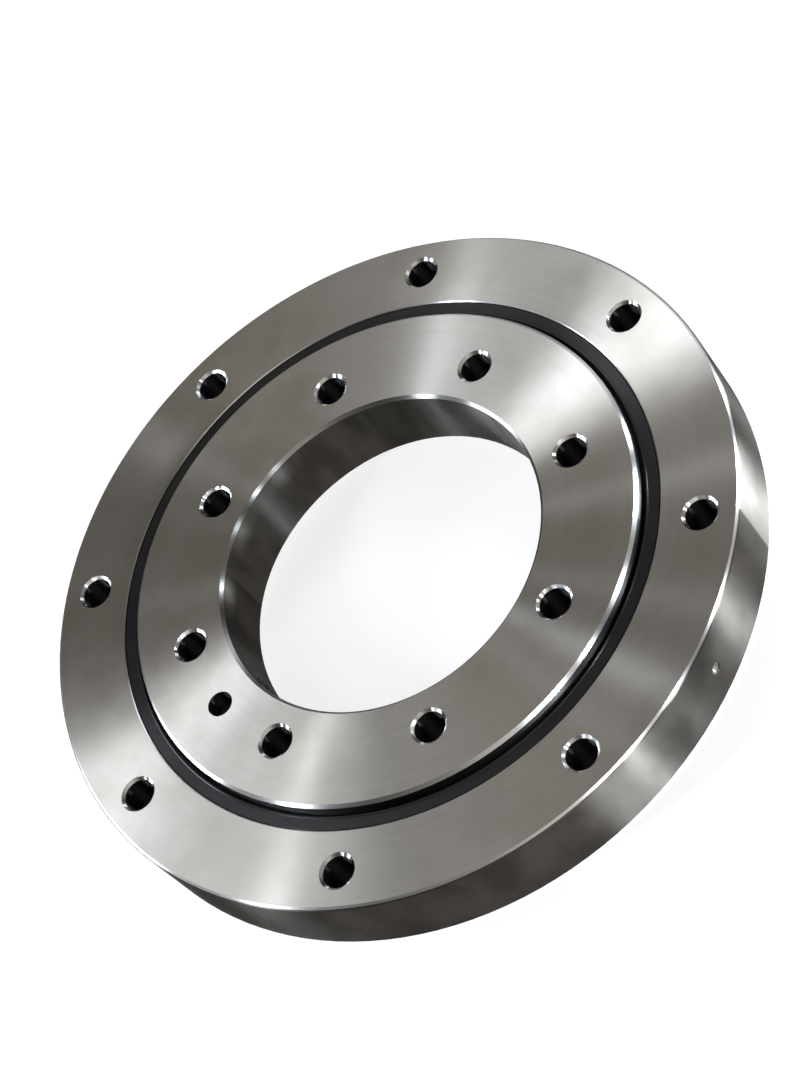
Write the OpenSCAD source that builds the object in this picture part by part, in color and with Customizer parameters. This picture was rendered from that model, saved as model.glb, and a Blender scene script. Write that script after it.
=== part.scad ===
// Crossed-roller slewing ring: two solid rings, one row of crossed rollers between them.
// It lies on the outer ring's bottom face. The origin is the bottom centre, Z is the axis.

/* [Rings] */
// Outside diameter of the outer ring
outer_d = 300; // [288:1:360]
// Bore diameter of the inner ring
bore_d = 140; // [110:1:154]
// Width of each ring
ring_w = 33; // [30:0.5:44]
// How far the inner ring stands above the outer ring
ring_offset = 4; // [1:0.5:5]
// Chamfer on the outside and bore edges
edge_chamfer = 1.3; // [0.5:0.1:2.5]
// Chamfer on the inner ring's edge beside the seal
seal_edge_chamfer = 1.3; // [0.4:0.1:1.4]
// Space between the two rings' facing walls
ring_gap = 1.4; // [0.8:0.1:2]

/* [Bolt holes] */
// Number of bolt holes in each ring
bolt_count = 8; // [4:1:12]
// Bolt circle diameter of the outer ring
outer_bolt_pcd = 269; // [262:1:272]
// Bolt circle diameter of the inner ring
inner_bolt_pcd = 173; // [170:1:178]
// Diameter of every bolt hole
bolt_hole_d = 13; // [9:0.5:14]
// Chamfer around both ends of a bolt hole
bolt_chamfer = 1.1; // [0.4:0.1:1.5]
// Direction of the outer ring's first bolt hole
outer_bolt_az = 90; // [0:1:90]

/* [Rollers] */
// Pitch diameter of the roller row
race_pitch_d = 222; // [216:1:226]
// Number of rollers, an even number
roller_count = 48; // [36:2:48]
// Diameter of a roller
roller_d = 11.5; // [9:0.5:11.5]
// Chamfer on a roller's two edges
roller_chamfer = 0.5; // [0.2:0.1:0.8]
// Clearance between a roller and each raceway flank
race_clearance = 0.25; // [0.1:0.05:0.4]
// Clearance between each end of a roller and the flank it faces
roller_end_clearance = 0.4; // [0.3:0.05:0.6]
// Width of the relief groove at the bottom of a raceway
relief_w = 1.6; // [1:0.1:2.4]
// Depth of the relief groove below the point of the V
relief_depth = 0.5; // [0.2:0.1:1]
// Clearance between a spacer's rim and the raceway flanks
spacer_rim_clearance = 0.6; // [0.4:0.1:1.2]
// Overall length of a spacer along the row
spacer_l = 7.2; // [5:0.1:8]
// Grease hole through the middle of a spacer
spacer_hole_d = 2.4; // [1:0.1:3]
// Clearance between a spacer and its two rollers
spacer_clearance = 0.2; // [0.1:0.05:0.4]

/* [Seals] */
// Width of the rebate that holds a seal, from the middle of the gap
seal_w = 7; // [6:0.1:8]
// Depth of that rebate
seal_depth = 4.5; // [3.5:0.1:4.5]
// How far the seal's face lies below the ring's face
seal_sink = 0.5; // [0.2:0.1:0.8]
// Height of the thin ridge along the seal's inner edge
seal_ridge_h = 0.3; // [0.1:0.05:0.5]
// Width of that ridge
seal_ridge_w = 0.7; // [0.4:0.1:1.2]
// Space between the seal's lip and the ring that runs past it
lip_gap = 0.3; // [0.2:0.05:0.5]
// Space between the seal's back and its rebate
seal_fit = 0.05; // [0.02:0.01:0.1]

/* [Filling plug] */
// Diameter of the plug that closes the roller filling hole
plug_d = 18; // [17:0.5:20]
// Radial clearance of the plug in its hole
plug_fit = 0.05; // [0.02:0.01:0.1]
// How far the plug's flat end lies inside the bore surface
plug_sink = 0.6; // [0.3:0.1:1]
// Direction of the plug and of its pin
plug_az = -135; // [-180:1:180]
// Diameter of the pin hole
pin_hole_d = 10.8; // [8:0.1:12]
// Radial clearance of the pin in its hole
pin_fit = 0.05; // [0.02:0.01:0.1]
// How far the pin lies below the inner ring's face
pin_sink = 8; // [2:0.5:10]
// Thickness left under the pin
pin_floor = 5; // [3:0.5:5]
// Diameter of the knock-out hole under the pin
knock_out_d = 6; // [4:0.5:8]

/* [Grease port] */
// Direction of the grease port
port_az = -22.5; // [-180:0.5:180]
// Diameter of the nipple's seat in the outer wall
port_d = 5; // [4:0.5:8]
// Depth of that seat
port_depth = 9; // [6:0.5:12]
// Diameter of the passage from the seat to the raceway
passage_d = 2.5; // [1.5:0.5:3.5]
// How far the nipple lies below the outer wall
nipple_sink = 0.4; // [0.2:0.1:1]
// Diameter of the nipple's funnel
funnel_d = 3; // [2:0.1:3.6]

/* [Hidden] */
// Curves are drawn with this many sides
$fn = 96;
// Extra length of every cutting shape
over = 1;
outer_r = outer_d / 2;
bore_r = bore_d / 2;
race_r = race_pitch_d / 2;
total_h = ring_w + ring_offset;
mid_z = total_h / 2;
outer_wall_r = race_r + ring_gap / 2;
inner_wall_r = race_r - ring_gap / 2;
roller_pitch = 360 / roller_count;
race_side = roller_d + 2 * race_clearance;
race_diag = race_side * sqrt(2);
roller_l = race_side - 2 * roller_end_clearance;
spacer_d = race_side - 2 * spacer_rim_clearance;
inner_bolt_az = outer_bolt_az - 180 / bolt_count;
roller_names = [for (i = [1:roller_count]) str("roller_", i < 10 ? "0" : "", i)];

// Section of a ring: a rectangle from r0 to r1 and z0 to z1 with four chamfers,
// given in the order bottom inside, bottom outside, top outside, top inside
function ring_section(r0, r1, z0, z1, c) = [
    [r0 + c[0], z0],
    [r1 - c[1], z0],
    [r1, z0 + c[1]],
    [r1, z1 - c[2]],
    [r1 - c[2], z1],
    [r0 + c[3], z1],
    [r0, z1 - c[3]],
    [r0, z0 + c[0]]
];

// The same section point turned half a turn about the middle of the roller
function turned(p) = [2 * race_r - p[0], 2 * mid_z - p[1]];

// Section of the square channel between the two V raceways, with its relief grooves
module raceway_section() {
    translate([race_r, mid_z]) {
        rotate(45) square(race_side, center = true);
        square([race_diag + 2 * relief_depth, relief_w], center = true);
    }
}

// Corners of the rebate in the outer ring's top, with a small chamfer at its outside edge
rebate_points = [
    [race_r, ring_w - seal_depth],
    [race_r + seal_w, ring_w - seal_depth],
    [race_r + seal_w, ring_w - 0.4],
    [race_r + seal_w + 0.4 + over, ring_w + over],
    [race_r, ring_w + over]
];

// Corners of the top seal: a flat body, a thin ridge and a lip that slopes down to the ring
seal_back_r = race_r + seal_w - seal_fit;
seal_front_r = outer_wall_r + 0.4;
seal_floor_z = ring_w - seal_depth;
seal_face_z = ring_w - seal_sink;
lip_r = inner_wall_r + lip_gap;
seal_points = [
    [seal_back_r, seal_floor_z],
    [seal_back_r, seal_face_z - 0.5],
    [seal_back_r - 0.5, seal_face_z],
    [seal_front_r + seal_ridge_w + 0.3, seal_face_z],
    [seal_front_r + seal_ridge_w, seal_face_z + seal_ridge_h],
    [seal_front_r + 0.2, seal_face_z + seal_ridge_h],
    [seal_front_r, seal_face_z],
    [seal_front_r, seal_floor_z + 2.4],
    [lip_r, seal_floor_z + 1.8],
    [lip_r, seal_floor_z + 1.3],
    [seal_front_r, seal_floor_z + 1.1],
    [seal_front_r, seal_floor_z]
];

// One through hole with a chamfer at each end, from z0 to z1
module bolt_hole(z0, z1) {
    translate([0, 0, z0 - over]) cylinder(d = bolt_hole_d, h = z1 - z0 + 2 * over);
    mouth_r = bolt_hole_d / 2 + bolt_chamfer + over;
    for (end = [[z1, 0], [z0, 180]])
        translate([0, 0, end[0]])
            rotate([end[1], 0, 0])
                translate([0, 0, -bolt_chamfer])
                    cylinder(r1 = bolt_hole_d / 2, r2 = mouth_r, h = bolt_chamfer + over);
}

// A circle of bolt holes
module bolt_circle(pcd, az, z0, z1) {
    for (i = [0:bolt_count - 1])
        rotate([0, 0, az - i * 360 / bolt_count])
            translate([pcd / 2, 0, 0])
                bolt_hole(z0, z1);
}

// A cylinder on the radius at one direction, from r0 to r1 at height z
module radial_cylinder(az, z, d, r0, r1) {
    rotate([0, 0, az])
        translate([r0, 0, z])
            rotate([0, 90, 0])
                cylinder(d = d, h = r1 - r0);
}

module outer_ring() {
    color([0.62, 0.61, 0.59])
        difference() {
            rotate_extrude()
                difference() {
                    polygon(ring_section(outer_wall_r, outer_r, 0, ring_w,
                        [0.5, edge_chamfer, edge_chamfer, 0.5]));
                    raceway_section();
                    polygon(rebate_points);
                }
            bolt_circle(outer_bolt_pcd, outer_bolt_az, 0, ring_w);
            radial_cylinder(port_az, ring_w / 2, port_d, outer_r - port_depth, outer_r + over);
            radial_cylinder(port_az, ring_w / 2, passage_d, race_r, outer_r);
        }
}

// Section of the inner ring, shared with the plug's raceway
module inner_section() {
    difference() {
        polygon(ring_section(bore_r, inner_wall_r, ring_offset, total_h,
            [edge_chamfer, 0.5, seal_edge_chamfer, edge_chamfer]));
        raceway_section();
        polygon([for (p = rebate_points) turned(p)]);
    }
}

// Hole for the plug's pin, and the smaller knock-out hole below it
module pin_hole() {
    rotate([0, 0, plug_az])
        translate([inner_bolt_pcd / 2, 0, 0]) {
            translate([0, 0, ring_offset + pin_floor]) cylinder(d = pin_hole_d, h = total_h);
            translate([0, 0, ring_offset - over]) cylinder(d = knock_out_d, h = total_h);
        }
}

module inner_ring() {
    color([0.66, 0.65, 0.63])
        difference() {
            rotate_extrude() inner_section();
            bolt_circle(inner_bolt_pcd, inner_bolt_az, ring_offset, total_h);
            radial_cylinder(plug_az, mid_z, plug_d, bore_r - 2 * over, race_r);
            pin_hole();
        }
}

module filling_plug() {
    color([0.6, 0.6, 0.6])
        difference() {
            intersection() {
                radial_cylinder(plug_az, mid_z, plug_d - 2 * plug_fit, bore_r + plug_sink, race_r);
                rotate_extrude() inner_section();
            }
            pin_hole();
        }
}

module plug_pin() {
    pin_h = ring_w - pin_floor - pin_sink;
    pin_r = pin_hole_d / 2 - pin_fit;
    color([0.35, 0.35, 0.36])
        rotate([0, 0, plug_az])
            translate([inner_bolt_pcd / 2, 0, ring_offset + pin_floor]) {
                cylinder(r = pin_r, h = pin_h - 0.6);
                translate([0, 0, pin_h - 0.6]) cylinder(r1 = pin_r, r2 = pin_r - 0.6, h = 0.6);
            }
}

module seal_top() {
    color([0.06, 0.06, 0.06])
        rotate_extrude() polygon(seal_points);
}

module seal_bottom() {
    color([0.06, 0.06, 0.06])
        rotate_extrude() polygon([for (p = seal_points) turned(p)]);
}

// Flush nipple: a short stem with a funnel and a blind passage
module grease_nipple() {
    stem_r = port_d / 2 - 0.04;
    stem_l = port_depth - nipple_sink;
    color([0.75, 0.72, 0.62])
        rotate([0, 0, port_az])
            translate([outer_r - port_depth, 0, ring_w / 2])
                rotate([0, 90, 0])
                    difference() {
                        cylinder(r = stem_r, h = stem_l);
                        translate([0, 0, stem_l - 1.2])
                            cylinder(d1 = 1, d2 = funnel_d, h = 1.21);
                        translate([0, 0, -over]) cylinder(d = 1, h = stem_l);
                    }
}

// Moves its children to place i in the row, upright on the pitch circle
module at_place(i) {
    rotate([0, 0, i * roller_pitch])
        translate([race_r, 0, mid_z])
            children();
}

// Lean of the roller at place i: by turns to one side and to the other
function lean(i) = i % 2 == 0 ? 45 : -45;

module roller(i) {
    r = roller_d / 2;
    h = roller_l / 2;
    c = roller_chamfer;
    color([0.8, 0.8, 0.8])
        at_place(i)
            rotate([0, lean(i), 0])
                rotate_extrude()
                    polygon([
                        [0, -h], [r - c, -h], [r, c - h],
                        [r, h - c], [r - c, h], [0, h]
                    ]);
}

// Spacer between places i and i + 1: a disc hollowed by both of its rollers
module spacer(i) {
    difference() {
        at_place(i + 0.5)
            rotate([90, 0, 0])
                cylinder(d = spacer_d, h = spacer_l, center = true);
        for (k = [i, i + 1])
            at_place(k)
                rotate([0, lean(k), 0])
                    cylinder(r = roller_d / 2 + spacer_clearance, h = 3 * roller_l, center = true);
        at_place(i + 0.5)
            rotate([90, 0, 0])
                cylinder(d = spacer_hole_d, h = 2 * spacer_l, center = true);
    }
}

module spacers() {
    color([0.85, 0.82, 0.7])
        for (i = [0:roller_count - 1])
            spacer(i);
}

outer_ring();
inner_ring();
seal_top();
seal_bottom();
filling_plug();
plug_pin();
grease_nipple();
spacers();
for (i = [0:roller_count - 1])
    roller(i);
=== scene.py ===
import math

import bpy
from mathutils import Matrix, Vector

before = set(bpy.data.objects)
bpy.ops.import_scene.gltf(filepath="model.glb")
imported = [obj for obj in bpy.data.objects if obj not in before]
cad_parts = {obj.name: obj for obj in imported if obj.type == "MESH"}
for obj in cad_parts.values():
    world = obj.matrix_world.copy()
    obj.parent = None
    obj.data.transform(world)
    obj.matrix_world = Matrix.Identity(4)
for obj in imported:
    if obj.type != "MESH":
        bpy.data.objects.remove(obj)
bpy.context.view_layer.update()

# Middle of the bearing, in metres
MIDDLE = Vector((0, 0, 0.0185))

# Chamfers lie at least this far above or below the middle
CHAMFERS_FROM = 0.010
CHAMFERS_FADE = 0.002
# Outside this radius the outer edge's chamfer carries the walls' painted shade
DARK_RIM_RADIUS = 0.1494
DARK_RIM_FADE = 0.0002
# Inside this radius the bore's chamfer has a tone of its own
BORE_EDGE_RADIUS = 0.0735
BORE_EDGE_FADE = 0.001
# Width over which the hidden walls turn to their painted shade
HIDDEN_FADE = 0.0005

# Chamfers are a paler steel than the faces: partly polished edges, partly a painted highlight
CHAMFER_TONE = (0.62, 0.61, 0.59)
BORE_EDGE_TONE = (0.3, 0.295, 0.285)
# Painted shade for the drilled holes and the gap behind the seal
RECESS_SHADE_TONE = (0.045, 0.045, 0.045)
FACE_ROUGHNESS = 0.26
WALL_ROUGHNESS = 0.32
CHAMFER_ROUGHNESS = 0.3

# A quarter turn, so that the gloss spreads across the turning lines
GLOSS_TURN = 0.25
# Keeps turned steel from going bright where it is seen at a low angle
STEEL_EDGE_TINT = (0.15, 0.15, 0.15, 1)
# Height of turning lines and grain, and of the rubber's rings, in metres
FINE_RELIEF = 0.00003
RUBBER_RELIEF = 0.00004

# Floor: size and drop below the bearing in metres, colour, and how far it shines when seen
FLOOR_SIZE = 8
FLOOR_DROP = 0.0002
FLOOR_TONE = (0.35, 0.35, 0.35)
FLOOR_SHINE = 0.74

# Lamps: distance in metres, colour, height of the strips and side of the small low lamps
LAMP_DISTANCE = 1.2
LAMP_COLOUR = (0.85, 0.92, 1.0)
STRIP_HEIGHT = 0.03
LOW_LAMP_SIZE = 0.06

# Sky: colour, strength, and the angle from its middle at which a glow ends
SKY_COLOUR = (1.0, 0.955, 0.9)
SKY_STRENGTH = 0.015
GLOW_ANGLE = 32

# Camera: place in metres, turn in degrees, lens and sensor in millimetres
CAMERA_PLACE = (0.49611, -0.5132, 0.86832)
CAMERA_TURN = (32.007, 26.383, 7.739)
LENS = 93.866
SENSOR_WIDTH = 36


class Graph:
    """A material's or the world's node tree, with short calls for the nodes used here."""

    def __init__(self, owner, output="ShaderNodeOutputMaterial"):
        owner.use_nodes = True
        self.owner = owner
        self.tree = owner.node_tree
        self.tree.nodes.clear()
        self.output = self.tree.nodes.new(output)

    def link(self, source, socket):
        """Connects an output, or sets a plain value."""
        if isinstance(source, bpy.types.NodeSocket):
            self.tree.links.new(source, socket)
        elif isinstance(source, tuple) and len(source) == 3 and socket.type == "RGBA":
            socket.default_value = (*source, 1)
        else:
            socket.default_value = source

    def add(self, kind, settings=None, **inputs):
        """A new node. The names of its inputs have underscores in place of spaces."""
        node = self.tree.nodes.new(kind)
        for key, value in (settings or {}).items():
            setattr(node, key, value)
        for key, value in inputs.items():
            self.link(value, node.inputs[key.replace("_", " ")])
        return node

    def maths(self, operation, *values, clamp=False):
        node = self.add("ShaderNodeMath", {"operation": operation, "use_clamp": clamp})
        for i, value in enumerate(values):
            self.link(value, node.inputs[i])
        return node.outputs[0]

    def plus(self, a, b):
        return self.maths("ADD", a, b)

    def minus(self, a, b, clamp=False):
        return self.maths("SUBTRACT", a, b, clamp=clamp)

    def times(self, a, b):
        return self.maths("MULTIPLY", a, b)

    def size(self, value):
        """A number without its sign."""
        return self.maths("ABSOLUTE", value)

    def mix(self, factor, a, b):
        """A colour between a and b."""
        node = self.add("ShaderNodeMix", {"data_type": "RGBA"})
        self.link(factor, node.inputs[0])
        self.link(a, node.inputs[6])
        self.link(b, node.inputs[7])
        return node.outputs[2]

    def blend(self, factor, a, b):
        """A number between a and b."""
        node = self.add("ShaderNodeMix", {"data_type": "FLOAT"})
        self.link(factor, node.inputs[0])
        self.link(a, node.inputs[2])
        self.link(b, node.inputs[3])
        return node.outputs[0]

    def ramp(self, value, low, high, to_low=0.0, to_high=1.0):
        """Goes smoothly from to_low to to_high while the value goes from low to high."""
        node = self.add("ShaderNodeMapRange", {"interpolation_type": "SMOOTHSTEP"})
        for i, v in enumerate((value, low, high, to_low, to_high)):
            self.link(v, node.inputs[i])
        return node.outputs[0]

    def dot(self, vector, axis):
        """How far a vector points along an axis."""
        node = self.add("ShaderNodeVectorMath", {"operation": "DOT_PRODUCT"})
        self.link(vector, node.inputs[0])
        node.inputs[1].default_value = axis
        return node.outputs["Value"]

    def noise(self, vector, scale, detail=2.0, roughness=0.5):
        node = self.add(
            "ShaderNodeTexNoise",
            Vector=vector,
            Scale=scale,
            Detail=detail,
            Roughness=roughness,
        )
        return node.outputs[0]

    def noise_along(self, value, scale, detail=2.0):
        """Noise that varies along one number only, such as the radius."""
        node = self.add(
            "ShaderNodeTexNoise",
            {"noise_dimensions": "1D"},
            W=value,
            Scale=scale,
            Detail=detail,
            Roughness=0.5,
        )
        return node.outputs[0]

    def bump(self, height, strength, distance):
        node = self.add("ShaderNodeBump", Strength=strength, Distance=distance, Height=height)
        return node.outputs[0]

    def shader(self, **inputs):
        node = self.add("ShaderNodeBsdfPrincipled", **inputs)
        self.tree.links.new(node.outputs[0], self.output.inputs[0])
        return node

    def turned_shader(self, spread, **inputs):
        """A shader whose gloss spreads across the rings round the bearing's axis."""
        tangent = self.add("ShaderNodeTangent", {"direction_type": "RADIAL", "axis": "Z"})
        node = self.shader(Tangent=tangent.outputs[0], **inputs)
        node.inputs["Anisotropic"].default_value = spread
        node.inputs["Anisotropic Rotation"].default_value = GLOSS_TURN
        return node

    def position(self):
        """Position on the object, in metres."""
        return self.add("ShaderNodeTexCoord").outputs["Object"]

    def split(self, vector):
        return self.add("ShaderNodeSeparateXYZ", Vector=vector).outputs

    def radius(self, x, y):
        return self.maths("SQRT", self.plus(self.times(x, x), self.times(y, y)))

    def facing(self):
        """How far a face looks up or down (1) or sideways (0)."""
        normal = self.add("ShaderNodeTexCoord").outputs["Normal"]
        return self.size(self.split(normal)[2])


def scaled(colour, *factors):
    """A colour times one factor, or times one for each channel."""
    if len(factors) == 1:
        factors = factors * 3
    return tuple(min(1.0, c * f) for c, f in zip(colour, factors))


class TurnedSteel:
    """Bare lathe-turned steel: fine rings on the faces and fine lines round the walls.

    Walls between the two radii hidden_from and hidden_to are drilled holes and the gap
    behind the seal, which get a painted shade.
    """

    def __init__(self, name, hidden_from, hidden_to):
        g = self.graph = Graph(bpy.data.materials.new(name))
        position = g.position()
        x, y, height = g.split(position)
        self.radius = g.radius(x, y)
        self.find_zones(height, hidden_from, hidden_to)

        along = g.blend(self.face, height, self.radius)
        self.fine = g.noise_along(along, 2600.0, detail=1.0)
        self.medium = g.noise_along(along, 420.0, detail=3.0)
        self.broad = g.noise_along(along, 70.0)
        self.cloud = g.noise(position, 14.0, detail=4.0, roughness=0.6)
        self.speck = g.noise(position, 900.0)
        angle = g.maths("ARCTAN2", y, x)
        # Streaks round the walls, partly stain and partly painted reflection.
        around = g.add("ShaderNodeCombineXYZ", X=g.times(angle, 0.1), Y=g.times(height, 0.4))
        self.stain_and_reflection_streaks = g.noise(around.outputs[0], 60.0, detail=3.0)

    def find_zones(self, height, hidden_from, hidden_to):
        """Where the faces, the walls, the chamfers and the hidden walls are."""
        g = self.graph
        up = g.facing()
        self.face = g.ramp(up, 0.9, 0.99)
        self.wall = g.ramp(up, 0.2, 0.05)
        slope = g.minus(g.minus(1.0, self.face), self.wall, clamp=True)
        from_middle = g.size(g.minus(height, MIDDLE.z))
        near_face = g.ramp(from_middle, CHAMFERS_FROM, CHAMFERS_FROM + CHAMFERS_FADE)
        self.chamfer = g.times(slope, near_face)
        outside = g.ramp(self.radius, hidden_from, hidden_from + HIDDEN_FADE)
        inside = g.ramp(self.radius, hidden_to, hidden_to - HIDDEN_FADE)
        self.hidden = g.times(inside, g.times(outside, self.wall))

    def colour(self, tone, shaded_wall_tone):
        g = self.graph
        dark = scaled(tone, 0.86, 0.84, 0.81)
        face = g.mix(g.ramp(self.cloud, 0.35, 0.65), dark, scaled(tone, 1.09))
        face = g.mix(g.times(g.ramp(self.medium, 0.4, 0.7), 0.18), face, dark)
        # Walls get a far darker steel than the faces: a painted shade for the dark surroundings
        # they reflect.
        wall = g.mix(g.ramp(self.stain_and_reflection_streaks, 0.35, 0.65), scaled(shaded_wall_tone, 0.62), shaded_wall_tone)
        # Holes and the gap behind the seal get their painted shade.
        wall = g.mix(self.hidden, wall, RECESS_SHADE_TONE)
        colour = g.mix(self.face, wall, face)

        # The outer edge's chamfer takes the walls' painted shade.
        dark_rim = g.ramp(self.radius, DARK_RIM_RADIUS, DARK_RIM_RADIUS + DARK_RIM_FADE)
        # The other chamfers get the paler steel, partly a painted highlight.
        colour = g.mix(self.chamfer, colour, g.mix(dark_rim, CHAMFER_TONE, shaded_wall_tone))
        bore_edge = g.ramp(self.radius, BORE_EDGE_RADIUS, BORE_EDGE_RADIUS - BORE_EDGE_FADE)
        colour = g.mix(g.times(self.chamfer, bore_edge), colour, BORE_EDGE_TONE)
        spots = g.times(g.times(g.ramp(self.speck, 0.68, 0.74), 0.3), self.face)
        return g.mix(spots, colour, dark)

    def roughness(self):
        g = self.graph
        rough = g.blend(self.wall, FACE_ROUGHNESS, WALL_ROUGHNESS)
        rough = g.plus(rough, g.times(self.medium, 0.05))
        rough = g.plus(rough, g.times(self.broad, 0.03))
        rough = g.plus(rough, g.times(g.ramp(self.cloud, 0.3, 0.7), 0.05))
        return g.blend(self.chamfer, rough, CHAMFER_ROUGHNESS)

    def material(self, tone, shaded_wall_tone):
        """The whole material, from the colours of its faces and of its walls."""
        g = self.graph
        ridges = g.plus(g.times(self.fine, 0.6), g.times(self.medium, 0.4))
        ridges = g.plus(ridges, g.times(self.speck, 0.06))
        shader = g.turned_shader(
            1.0,
            Base_Color=self.colour(tone, shaded_wall_tone),
            Metallic=1.0,
            Roughness=self.roughness(),
            Normal=g.bump(ridges, 0.3, FINE_RELIEF),
        )
        shader.inputs["Specular Tint"].default_value = STEEL_EDGE_TINT
        return g.owner


def rubber(name):
    """Black seal rubber with faint moulding rings and a dusty bloom."""
    g = Graph(bpy.data.materials.new(name))
    position = g.position()
    x, y = g.split(position)[:2]
    rings = g.noise_along(g.radius(x, y), 1500.0)
    cloud = g.noise(position, 30.0, detail=4.0)
    grain = g.noise(position, 1400.0)
    relief = g.plus(g.times(rings, 0.7), g.times(grain, 0.3))
    shader = g.turned_shader(
        0.9,
        Base_Color=g.mix(g.ramp(cloud, 0.35, 0.7), (0.005, 0.005, 0.006), (0.01, 0.0097, 0.0097)),
        Roughness=g.plus(0.24, g.times(cloud, 0.1)),
        Normal=g.bump(relief, 0.3, RUBBER_RELIEF),
    )
    shader.inputs["Specular IOR Level"].default_value = 0.4
    return g.owner


def plain_steel(name, tone, roughness):
    """Small steel pieces: fine grain, slight staining, a roughness close to the one given."""
    g = Graph(bpy.data.materials.new(name))
    position = g.position()
    cloud = g.noise(position, 160.0, detail=4.0)
    grain = g.noise(position, 2500.0)
    g.shader(
        Base_Color=g.mix(g.ramp(cloud, 0.3, 0.7), scaled(tone, 0.7), tone),
        Metallic=1.0,
        Roughness=g.plus(roughness - 0.04, g.times(cloud, 0.1)),
        Normal=g.bump(grain, 0.25, FINE_RELIEF),
    )
    return g.owner


def moulded(name, tone):
    """Moulded spacers: matt plastic with a faint mottle."""
    g = Graph(bpy.data.materials.new(name))
    position = g.position()
    cloud = g.noise(position, 220.0, detail=3.0)
    grain = g.noise(position, 3000.0)
    g.shader(
        Base_Color=g.mix(cloud, scaled(tone, 0.85), tone),
        Roughness=g.plus(0.4, g.times(cloud, 0.12)),
        Normal=g.bump(grain, 0.2, FINE_RELIEF),
    )
    return g.owner


def floor_material():
    """Pale floor that looks white to the camera and in reflections."""
    g = Graph(bpy.data.materials.new("floor_white"))
    path = g.add("ShaderNodeLightPath")
    seen = g.maths("MAXIMUM", path.outputs["Is Camera Ray"], path.outputs["Is Glossy Ray"])
    seen = g.maths("MAXIMUM", seen, path.outputs["Is Transmission Ray"])
    shader = g.shader(Base_Color=FLOOR_TONE, Roughness=0.9)
    shader.inputs["Emission Color"].default_value = (1, 1, 1, 1)
    g.link(g.times(seen, FLOOR_SHINE), shader.inputs["Emission Strength"])
    return g.owner


def paint(node, material):
    """Gives a CAD node one material on every slot."""
    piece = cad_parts[node]
    if not piece.material_slots:
        piece.data.materials.append(material)
    for slot in piece.material_slots:
        slot.material = material


outer_steel = TurnedSteel("outer_steel", hidden_from=0.1, hidden_to=0.1485)
inner_steel = TurnedSteel("inner_steel", hidden_from=0.0715, hidden_to=0.2)
# The wall tones are painted shade, far darker than the steel of the faces.
paint("outer_ring", outer_steel.material(tone=(0.5, 0.477, 0.445), shaded_wall_tone=(0.106, 0.097, 0.087)))
paint("inner_ring", inner_steel.material(tone=(0.52, 0.497, 0.465), shaded_wall_tone=(0.09, 0.083, 0.075)))
seal_rubber = rubber("seal_rubber")
paint("seal_top", seal_rubber)
paint("seal_bottom", seal_rubber)
paint("filling_plug", plain_steel("plug_steel", (0.5, 0.49, 0.47), 0.32))
paint("plug_pin", plain_steel("pin_steel", (0.2, 0.2, 0.2), 0.4))
# The nipple's steel is darkened like the walls: a painted shade.
paint("grease_nipple", plain_steel("nipple_steel", (0.25, 0.245, 0.235), 0.35))
paint("spacers", moulded("spacer_plastic", (0.83, 0.8, 0.68)))
roller_steel = plain_steel("roller_steel", (0.75, 0.75, 0.76), 0.12)
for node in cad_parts:
    if node.startswith("roller_"):
        paint(node, roller_steel)

bpy.ops.mesh.primitive_plane_add(size=FLOOR_SIZE, location=(0, 0, -FLOOR_DROP))
floor = bpy.context.object
floor.name = "floor"
floor.data.materials.append(floor_material())


def direction(azimuth, elevation):
    """The unit vector at an azimuth and an elevation, in degrees."""
    a = math.radians(azimuth)
    e = math.radians(elevation)
    return Vector((math.cos(a) * math.cos(e), math.sin(a) * math.cos(e), math.sin(e)))


def softbox(name, azimuth, elevation, width, height, power, distance=LAMP_DISTANCE):
    """A rectangular lamp that looks at the bearing."""
    data = bpy.data.lights.new(name, "AREA")
    data.shape = "RECTANGLE"
    data.size = width
    data.size_y = height
    data.energy = power
    data.color = LAMP_COLOUR
    lamp = bpy.data.objects.new(name, data)
    bpy.context.scene.collection.objects.link(lamp)
    lamp.location = MIDDLE + distance * direction(azimuth, elevation)
    lamp.rotation_euler = (MIDDLE - lamp.location).to_track_quat("-Z", "Y").to_euler()
    lamp.visible_camera = False


def wall_strip(name, azimuth, width, power):
    """A low strip level with the bearing, which only the walls see."""
    softbox(name, azimuth, 0, width, STRIP_HEIGHT, power)


def low_lamp(name, azimuth, elevation, power):
    """A small lamp that reaches over the ring to the top of the bore wall."""
    softbox(name, azimuth, elevation, LOW_LAMP_SIZE, LOW_LAMP_SIZE, power)


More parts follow.
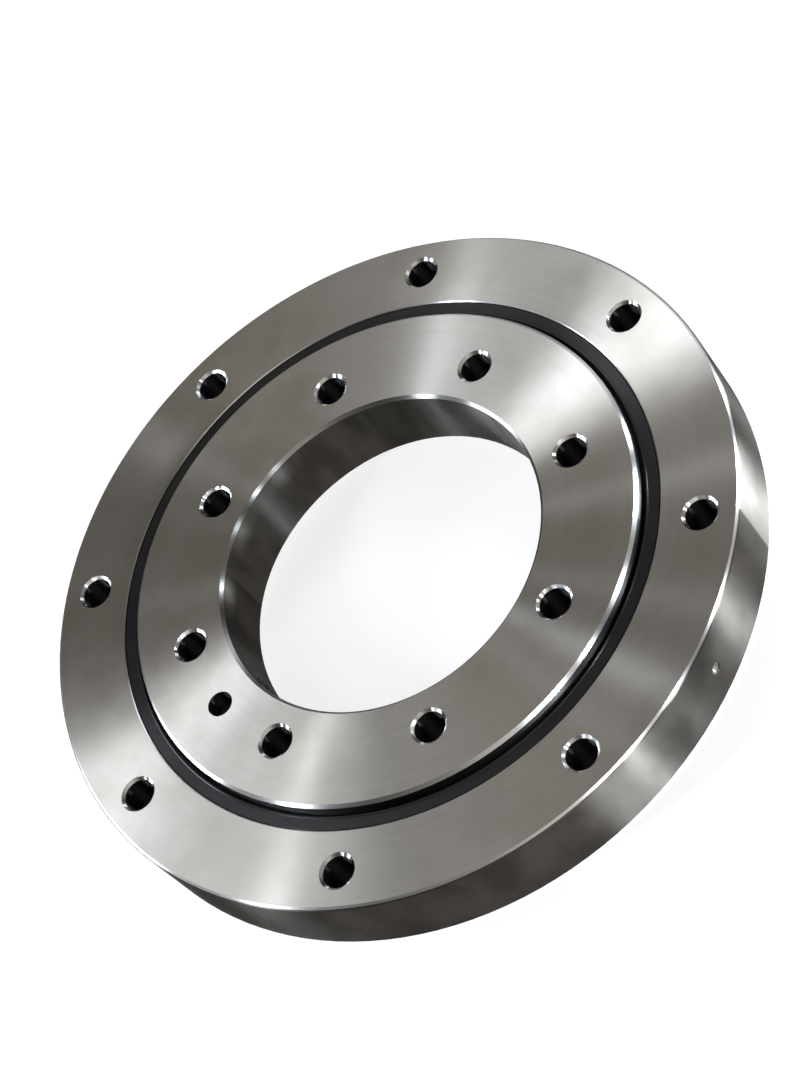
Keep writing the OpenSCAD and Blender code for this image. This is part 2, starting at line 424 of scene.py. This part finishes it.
softbox("back_light", 88.5, 39, 0.26, 0.24, 3.2)
softbox("back_side_light", 110, 26, 0.05, 0.25, 0.25)
softbox("high_back_light", 155, 66, 0.18, 0.18, 0.19)
softbox("high_light", 182, 55, 0.4, 0.4, 1.5)
softbox("left_high_light", 185, 44, 0.35, 0.35, 1.0)
softbox("left_light", 180, 22, 0.6, 0.5, 32.0, distance=2.5)
softbox("left_low_light", 196, 12, 0.25, 0.25, 4.0)
softbox("side_light", 220.5, 35, 0.08, 0.25, 5.0)
softbox("front_high_light", -19, 18, 0.06, 0.2, 5.0)

wall_strip("front_strip", -36.5, 0.06, 8.5)
wall_strip("front_left_strip", -46, 0.1, 5.0)
wall_strip("right_strip", 4, 0.15, 7.0)
wall_strip("right_back_strip", 32, 0.16, 31.0)
wall_strip("far_right_strip", 54, 0.12, 6.0)

low_lamp("front_low_light", -36, 4, 5.0)
low_lamp("right_low_light", 3, 4, 5.5)
low_lamp("right_back_low_light", 38, 4.5, 6.0)


def studio_world(glows):
    """A dim sky with soft glows, each given by azimuth, elevation and strength."""
    world = bpy.data.worlds.new("studio")
    bpy.context.scene.world = world
    g = Graph(world, "ShaderNodeOutputWorld")
    sky = g.add("ShaderNodeTexCoord").outputs["Generated"]
    glow_end = math.cos(math.radians(GLOW_ANGLE))
    strength = SKY_STRENGTH
    for azimuth, elevation, glow in glows:
        towards = g.dot(sky, direction(azimuth, elevation))
        strength = g.plus(strength, g.ramp(towards, glow_end, 1.0, 0.0, glow))
    background = g.add("ShaderNodeBackground", Color=SKY_COLOUR, Strength=strength)
    g.tree.links.new(background.outputs[0], g.output.inputs[0])


studio_world(
    (
        (20, 25, 0.45),
        (105, 42, 0.5),
        (120, 70, 0.06),
        (180, 70, 0.25),
        (285, 42, 0.32),
        (300, 70, 0.15),
        (315, 42, 0.9),
    )
)

camera_data = bpy.data.cameras.new("camera")
camera_data.sensor_width = SENSOR_WIDTH
camera_data.lens = LENS
camera = bpy.data.objects.new("camera", camera_data)
bpy.context.scene.collection.objects.link(camera)
camera.location = CAMERA_PLACE
camera.rotation_euler = tuple(math.radians(a) for a in CAMERA_TURN)
bpy.context.scene.camera = camera

bpy.context.scene.view_settings.view_transform = "Standard"
